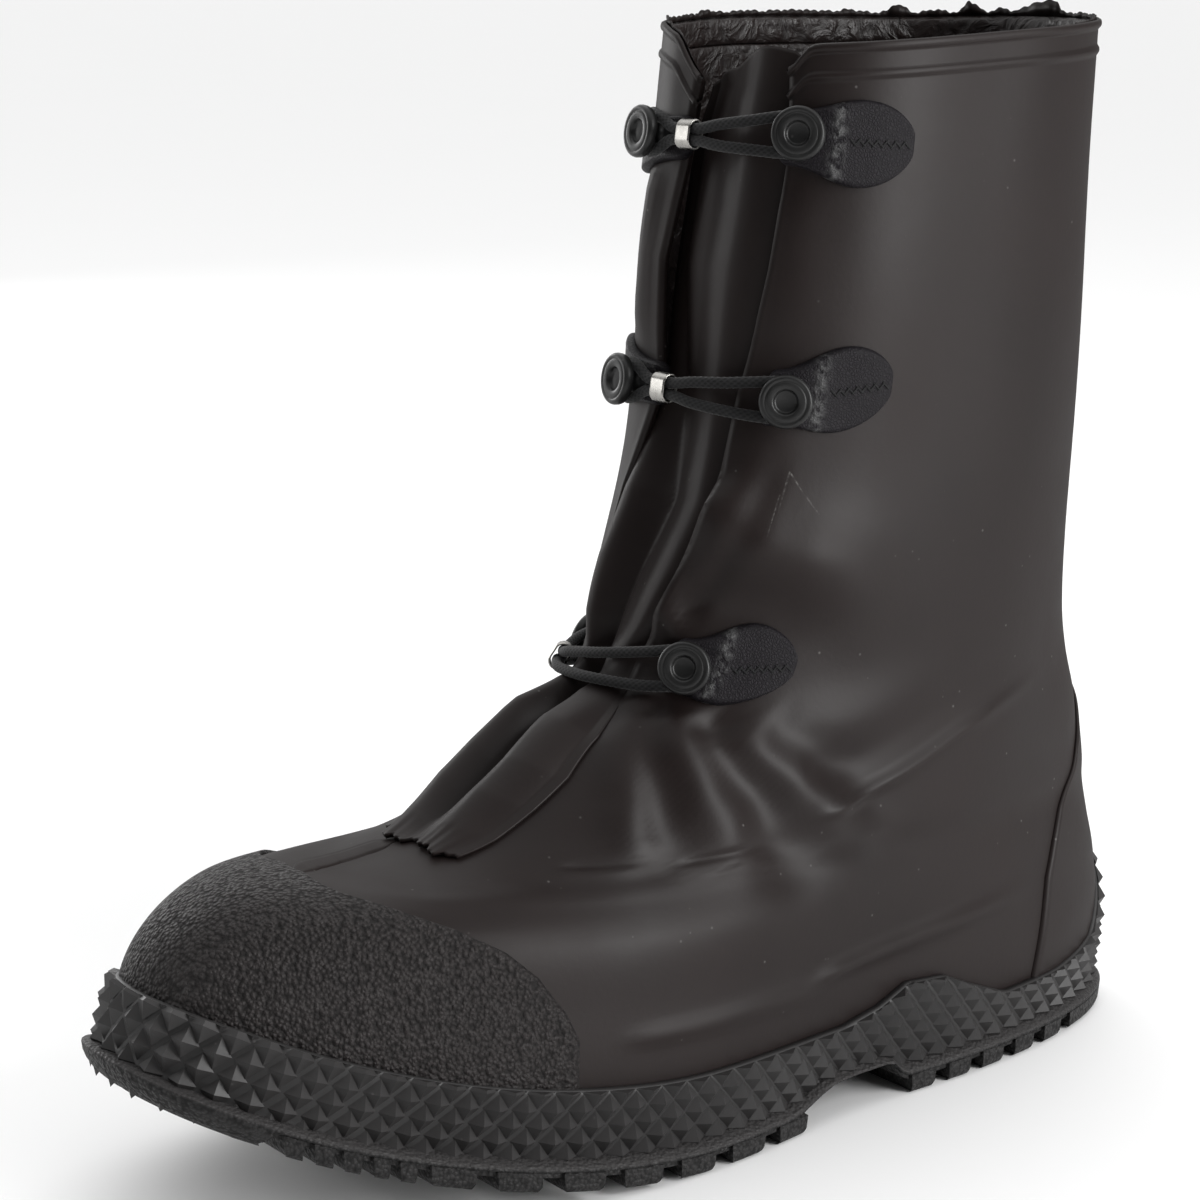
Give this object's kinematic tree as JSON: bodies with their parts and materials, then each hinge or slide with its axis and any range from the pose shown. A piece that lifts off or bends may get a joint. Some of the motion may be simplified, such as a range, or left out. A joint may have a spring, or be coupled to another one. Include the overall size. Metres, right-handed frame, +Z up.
{
  "type": "rubber overboot",
  "caption": "Ankle-high black rubber overboot for the left foot, pulled on over a shoe, with a pleated front gusset, button and elastic loop closures, knurled foxing and a lugged sole.",
  "frame": {"origin": "middle of the boot's box, on the plane the sole stands on", "axes": "+Z up, toe towards -Y, outer side of the foot towards +X"},
  "size_m": [0.1182, 0.3384, 0.299],
  "materials": {
    "upper_rubber": "satin",
    "foxing_rubber": "matte, knurled",
    "grained_rubber": "matte, pebbled",
    "sole_rubber": "matte, pebbled",
    "tab_rubber": "fine leather grain",
    "button_plastic": "satin",
    "elastic": "braided",
    "ferrule_metal": "crimped"
  },
  "bodies": {
    "root": {"button_far_low": "button_plastic", "button_far_middle": "button_plastic", "button_far_top": "button_plastic", "button_near_low": "button_plastic", "button_near_middle": "button_plastic", "button_near_top": "button_plastic", "ferrule_low": "ferrule_metal", "ferrule_middle": "ferrule_metal", "ferrule_top": "ferrule_metal", "foxing": "foxing_rubber", "gusset": "upper_rubber", "heel_counter": "upper_rubber", "loop_low": "elastic", "loop_middle": "elastic", "loop_top": "elastic", "outsole": "sole_rubber", "tab_far_low": "tab_rubber", "tab_far_middle": "tab_rubber", "tab_far_top": "tab_rubber", "tab_near_low": "tab_rubber", "tab_near_middle": "tab_rubber", "tab_near_top": "tab_rubber", "toe_cap": "grained_rubber", "upper": "upper_rubber"}
  },
  "joints": []
}
